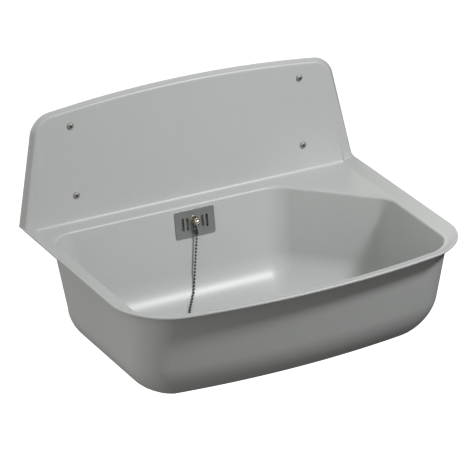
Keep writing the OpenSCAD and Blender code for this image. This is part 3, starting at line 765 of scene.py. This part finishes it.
# %% [markdown]
# ## Growing what repeats
#
# Four screws, four cup washers and forty-odd balls are the same piece again and again, which
# is work for Geometry Nodes. `Growth` is a bench for such a tree. Its named inputs are the
# sizes, it ends by making the copies real and giving them their finish, and `grow` turns the
# result into a plain mesh, because the frame's calls want no live tree on a piece.

# %% Growth
class Growth(Bench):
    """A Geometry Nodes tree with named inputs, which leaves a plain mesh behind."""

    def __init__(self, name, **kinds):
        super().__init__(bpy.data.node_groups.new(name, "GeometryNodeTree"))
        sockets = self.tree.interface
        for way in ("INPUT", "OUTPUT"):
            sockets.new_socket("Geometry", in_out=way, socket_type="NodeSocketGeometry")
        self.identifiers = {}
        for label, kind in kinds.items():
            made = sockets.new_socket(label, in_out="INPUT", socket_type="NodeSocket" + kind)
            self.identifiers[label] = made.identifier
        self.entry = self.tree.nodes.new("NodeGroupInput")

    def given(self, label):
        return Wire(self, self.entry.outputs[label])

    def grow(self, geometry, finish, base, **values):
        """The base object's mesh once the tree has grown on it with these values."""
        real = self.node("GeometryNodeRealizeInstances", None, {0: geometry})
        painted = self.node("GeometryNodeSetMaterial", None, {0: real, "Material": finish})
        leave = self.tree.nodes.new("NodeGroupOutput")
        self.feed(leave.inputs["Geometry"], painted)
        step = base.modifiers.new("growth", "NODES")
        step.node_group = self.tree
        for label, value in values.items():
            step[self.identifiers[label]] = value
        mesh = baked(base)
        print(self.tree.name, "grew", len(mesh.vertices), "points")
        return mesh


def blank(name):
    """An object with an empty mesh, for a tree to grow on."""
    return named_object(name, bpy.data.meshes.new(name))

# %% [markdown]
# ## The ball chain
#
# A ball chain is hollow balls strung on short bars, and it bends like a limp cord. Its route
# is the one that the frame settled: down from the stay, along the wall, over the cove, in a
# slack bend on the floor and up to the plug's clasp. A smooth curve through those points is
# cut at the chain's pitch, and each cut gets a ball. The bars are a thin wire all the way.

# %% Chain's route
CHAIN_ROUTE = [Vector(point) * MM for point in (
    (-17.5, -58.5, -53), (-17.5, -58.5, -58), (-18.5, -58.8, -66), (-20, -59.4, -77), (-22, -60.2, -90),
    (-24, -61, -104), (-26.2, -62, -120), (-28.5, -63.6, -134), (-31.5, -67, -144), (-35, -72.3, -152),
    (-39, -76.8, -157), (-43, -81.5, -161.4), (-48, -88, -166), (-53, -95, -169.6), (-57, -102, -172),
    (-60, -110, -173.8), (-61, -119, -174.8), (-59, -128, -175.4), (-54, -136.5, -175.8),
    (-47, -143.5, -176), (-39, -149.5, -176), (-31.5, -154.5, -175.3), (-25.5, -159.5, -173.8),
    (-21, -164.5, -171.8), (-18, -169.3, -170), (-16.3, -173.8, -168.9), (-16, -177.5, -168.5))]
BALL_D, BAR_D, PITCH = 4 * MM, 0.9 * MM, 5.7 * MM

# %% Chain's balls and bars
growth = Growth("string_of_balls", Ball="Float", Bar="Float", Pitch="Float")
line = growth.node("GeometryNodeMeshToCurve", None, {"Mesh": growth.given("Geometry")})
fair = growth.node("GeometryNodeCurveSplineType", {"spline_type": "CATMULL_ROM"}, {"Curve": line})
places = growth.node("GeometryNodeResampleCurve", {"mode": "LENGTH"},
                     {"Curve": fair, "Length": growth.given("Pitch")})
ball = growth.node("GeometryNodeMeshUVSphere", None,
                   {"Segments": 14, "Rings": 9, "Radius": 0.5 * growth.given("Ball")})
balls = growth.node("GeometryNodeInstanceOnPoints", None, {"Points": places, "Instance": ball})
wire_round = growth.node("GeometryNodeCurvePrimitiveCircle", None,
                         {"Resolution": 8, "Radius": 0.5 * growth.given("Bar")})
bars = growth.node("GeometryNodeCurveToMesh", None, {"Curve": places, "Profile Curve": wire_round})
strung = growth.node("GeometryNodeJoinGeometry", None, {0: [balls, bars]})

route = bpy.data.meshes.new("chain_route")
route.from_pydata(CHAIN_ROUTE, [(i, i + 1) for i in range(len(CHAIN_ROUTE) - 1)], [])
chain_mesh = growth.grow(strung, LOOKS["ball_chain"], named_object("chain_route", route),
                         Ball=BALL_D, Bar=BAR_D, Pitch=PITCH)
chain = named_object("strung_balls", shaded(chain_mesh, ROUNDED_OFF))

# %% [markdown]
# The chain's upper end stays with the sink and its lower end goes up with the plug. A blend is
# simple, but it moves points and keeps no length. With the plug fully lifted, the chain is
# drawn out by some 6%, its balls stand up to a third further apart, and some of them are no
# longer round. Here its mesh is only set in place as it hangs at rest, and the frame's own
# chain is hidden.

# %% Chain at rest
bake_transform(chain)
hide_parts("ball_chain")

# %% [markdown]
# ## The rings
#
# Each end of the chain hangs from a small ring of round wire. The frame says where each one
# is and how wide, so the box of its node gives the middle and the radius, and only the wire's
# thickness and the way that the ring faces are added here.

# %% Wire rings
WIRE_D = 1.8 * MM


def wire_ring(name, node, turn):
    low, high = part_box(node)
    growth = Growth(name, Radius="Float", Wire="Float")
    hoop = growth.node("GeometryNodeCurvePrimitiveCircle", None,
                       {"Resolution": 64, "Radius": growth.given("Radius")})
    wire = growth.node("GeometryNodeCurvePrimitiveCircle", None,
                       {"Resolution": 16, "Radius": 0.5 * growth.given("Wire")})
    ring = growth.node("GeometryNodeCurveToMesh", None, {"Curve": hoop, "Profile Curve": wire})
    mesh = growth.grow(ring, LOOKS[node], blank(name),
                       Radius=(high.x - low.x - WIRE_D) / 2, Wire=WIRE_D)
    mesh.transform(Matrix.Translation((low + high) / 2) @ turn)
    return piece(name, shaded(mesh, ROUNDED_OFF), node)


wire_ring("ring_on_the_stay", "stay_ring", Matrix.Rotation(radians(90 - BACK_ANGLE), 4, "X"))
wire_ring("ring_on_the_plug", "plug_ring", Matrix.Rotation(radians(-5), 4, "X"))

# %% [markdown]
# ## Screws and cup washers
#
# One screw and one washer are turned, and a grid of two by two places carries a copy of each
# to the four holes. The panel leans back a little, so the tree slides each place along Y by
# the face's own slope, and the upper screws sit nearer the wall. The head's recess is cut
# before the copies are made. In the photograph a head is a few pixels wide, a grey ring with
# a dark centre, so the cross shape of the recess is a guess at the usual one.

# %% One screw and one washer
HEAD_D, CUP_H = 9, 2
SHANK_END, POINT_H = 58, 6
RECESS_W, RECESS_SLOT, RECESS_H, RECESS_TURN = 5.4, 1.4, 1.1, 20
SEATED = 0.3
outwards = Matrix.Rotation(radians(90), 4, "X")


def screw():
    head, neck, shank, tip = HEAD_D / 2, SCREW_D / 2 + 0.05, SCREW_D / 2, -SHANK_END
    profile = [(0, tip), (0.8, tip + 0.3), (shank, tip + POINT_H), (shank, -1), (neck, -0.3),
               (head, CUP_H - 0.2), (head, CUP_H), (head * 0.94, CUP_H + 0.3), (head * 0.75, CUP_H + 0.68),
               (head * 0.4, CUP_H + 1), (0, CUP_H + 1.1)]
    mesh = as_mesh(turned(profile), "screw")
    recess = bmesh.new()
    for turn in (0, 90):
        place = Matrix.Rotation(radians(turn + RECESS_TURN), 4, "Z")
        add_box(recess, (-RECESS_W / 2, -RECESS_SLOT / 2, CUP_H - RECESS_H),
                (RECESS_W / 2, RECESS_SLOT / 2, CUP_H + 2), place)
    well = turned([(0, CUP_H - 2), (1.7, CUP_H - 1.3), (2.1, CUP_H + 2), (0, CUP_H + 2)])
    socket = combined(as_mesh(recess, "recess"), as_mesh(well, "socket"), "UNION")
    mesh = combined(mesh, socket, "DIFFERENCE")
    mesh.transform(outwards)
    return shaded(mesh)


def cup_washer():
    cup, rim, head = SCREW_D / 2 + 0.3, WASHER_D / 2, HEAD_D / 2
    profile = [(cup, 0), (rim - 0.2, 0), (rim, 0.15), (rim, 0.7), (rim - 0.1, 0.95), (head + 0.75, 1.8),
               (head + 0.45, 1.97), (head + 0.2, CUP_H), (head + 0.02, CUP_H - 0.1)]
    mesh = as_mesh(turned(profile), "washer")
    mesh.transform(outwards)
    return shaded(mesh)

# %% On the panel's four places
def on_the_panel(name, node, mesh):
    """Four copies of a mesh, seated on the panel's leaning face."""
    growth = Growth(name, Pattern="Object", Span="Float", Rise="Float", Lowest="Float",
                    Face="Float", Lean="Float")
    grid = growth.node("GeometryNodeMeshGrid", None,
                       {"Size X": growth.given("Span"), "Size Y": growth.given("Rise"),
                        "Vertices X": 2, "Vertices Y": 2})
    middle = growth.node("ShaderNodeCombineXYZ", None,
                         {"Z": growth.given("Lowest") + 0.5 * growth.given("Rise")})
    standing = growth.node("GeometryNodeTransform", None,
                           {"Geometry": grid, "Translation": middle, "Rotation": (radians(90), 0, 0)})
    height = growth.node("ShaderNodeSeparateXYZ", None, {0: growth.node("GeometryNodeInputPosition")},
                         output="Z")
    depth = growth.given("Lean") * height - growth.given("Face")
    seats = growth.node("GeometryNodeSetPosition", None,
                        {"Geometry": standing,
                         "Offset": growth.node("ShaderNodeCombineXYZ", None, {"Y": depth})})
    pattern = growth.node("GeometryNodeObjectInfo", None, {0: growth.given("Pattern")}, output="Geometry")
    copies = growth.node("GeometryNodeInstanceOnPoints", None, {"Points": seats, "Instance": pattern})
    model = named_object(name + "_pattern", mesh)
    low, high = SCREWS[0], SCREWS[-1]
    grown = growth.grow(copies, LOOKS[node], blank(name), Pattern=model,
                        Span=(high[0] - low[0]) * MM, Rise=(high[1] - low[1]) * MM, Lowest=low[1] * MM,
                        Face=(face_depth(0) - SEATED) * MM, Lean=PANEL_LEAN)
    bpy.data.objects.remove(model)
    return piece(name, shaded(grown), node)


on_the_panel("panel_screws", "wall_screws", screw())
on_the_panel("panel_washers", "cup_washers", cup_washer())

# %% [markdown]
# ## The overflow hose
#
# The hose hides behind the bowl. It drops from the overflow box, turns a quarter round and
# runs to the waste, so its path is two straights and an arc. Circles along the path make the
# outside, and the same circles, smaller and in the other order, make the bore.

# %% Hose
HOSE_D, HOSE_BORE, HOSE_BEND = 20, 16, 45
hose_low, hose_high = (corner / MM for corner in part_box("overflow_hose"))


def hose_ring(y, z, turn, radius):
    """A circle square to the hose, which has turned by an angle from hanging straight down."""
    ways = [2 * pi * k / 32 for k in range(32)]
    return [Vector((WASTE.x + radius * cos(a), y + radius * sin(a) * cos(turn),
                    z - radius * sin(a) * sin(turn))) for a in ways]


def hose():
    y, foot_z = hose_high.y - HOSE_D / 2, hose_low.z + HOSE_D / 2
    bend_y, bend_z = y - HOSE_BEND, foot_z + HOSE_BEND
    drop = [(y, hose_high.z + (bend_z - hose_high.z) * k / 4, 0) for k in range(4)]
    arc = [(bend_y + HOSE_BEND * cos(t), bend_z - HOSE_BEND * sin(t), t)
           for t in (quarter * k / 12 for k in range(13))]
    reach = [(bend_y + (hose_low.y - bend_y) * k / 4, foot_z, quarter) for k in range(1, 5)]
    path = drop + arc + reach
    outer = [hose_ring(*place, HOSE_D / 2) for place in path]
    inner = [hose_ring(*place, HOSE_BORE / 2) for place in reversed(path)]
    return shaded(as_mesh(loft(outer + inner), "hose"))


piece("bent_hose", hose(), "overflow_hose")
print("hose: from", round(hose_high.z), "to", round(hose_low.z), "mm")

# %% [markdown]
# ## The studio
#
# The photograph looks as if one soft light, high on the right, stood in a room that is bright
# on the left. How strong each was isn't known: the strengths here were tuned until the
# render's brightness came near the photograph's. A small soft box gives the highlight along
# the cove, and the sky fills the rest. Its strength is a sum of soft steps: a little from
# everywhere, more from the left, a band at wall height, a white wall behind, and a bounce from
# below. The floor is pale and glows a little, so that it reads as plain paper.

# %% The key light
KEY_WAY, KEY_AWAY, KEY_SIZE, KEY_WATTS = Vector((0.38, -0.61, 0.69)), 2.4, 0.3, 48

key = bpy.data.lights.new("key_softbox", "AREA")
key.shape, key.size, key.size_y = "RECTANGLE", KEY_SIZE, KEY_SIZE
key.energy, key.color = KEY_WATTS, (1.0, 1.0, 0.99)
key_place = AIM + KEY_AWAY * KEY_WAY
key_stance = (AIM - key_place).to_track_quat("-Z", "Y").to_matrix().to_4x4()
named_object("key_softbox", key).matrix_world = Matrix.Translation(key_place) @ key_stance
print("key light:", KEY_WATTS, "watts,", round((key_place - AIM).length, 2), "m from the sink")

# %% The room's light
world = bpy.data.worlds.new("studio_room")
bpy.context.scene.world = world
world.use_nodes = True
room = Bench(world.node_tree)
way = room.node("ShaderNodeTexCoord", output="Generated")
sideways, backwards, upwards = (room.node("ShaderNodeSeparateXYZ", None, {0: way}, output=axis)
                                for axis in "XYZ")
leftwards = (0 - sideways).between(-0.5, 0.8)
far_left = (0 - sideways).between(0.15, 1)
wall_band = upwards.between(-0.15, 0.2) * (1 - 0.72 * upwards.between(0.3, 0.95))
white_wall = backwards.between(0.45, 0.8) * upwards.between(0.05, 0.3) * (1 - upwards.between(0.55, 0.8))
bounce = (0 - upwards).between(0.2, 0.9) * leftwards
light = 0.04 + 0.13 * leftwards + 0.15 * far_left + wall_band * (0.02 + 0.73 * leftwards)
light = light + 1.1 * white_wall + 0.16 * bounce
backdrop = world.node_tree.nodes["Background"]
backdrop.inputs["Color"].default_value = (1.0, 0.994, 0.955, 1)
room.feed(backdrop.inputs["Strength"], light)
print("room:", len(world.node_tree.nodes), "nodes")

# %% The floor
FLOOR_HALF, FLOOR_Z = 20, -0.62
floor_mesh = bpy.data.meshes.new("studio_floor")
floor_mesh.from_pydata([(x * FLOOR_HALF, y * FLOOR_HALF, FLOOR_Z)
                        for x, y in ((-1, -1), (1, -1), (1, 1), (-1, 1))], [], [(0, 1, 2, 3)])
studio_floor = named_object("studio_floor", floor_mesh)
pale = Finish("pale_floor", (0.9, 0.9, 0.9), Roughness=0.8)
pale.set(Emission_Color=(1, 1, 1, 1), Emission_Strength=0.7)
floor_mesh.materials.append(pale.material)
studio_floor.visible_diffuse = False
studio_floor.visible_glossy = False
bpy.context.scene.view_settings.view_transform = "Standard"
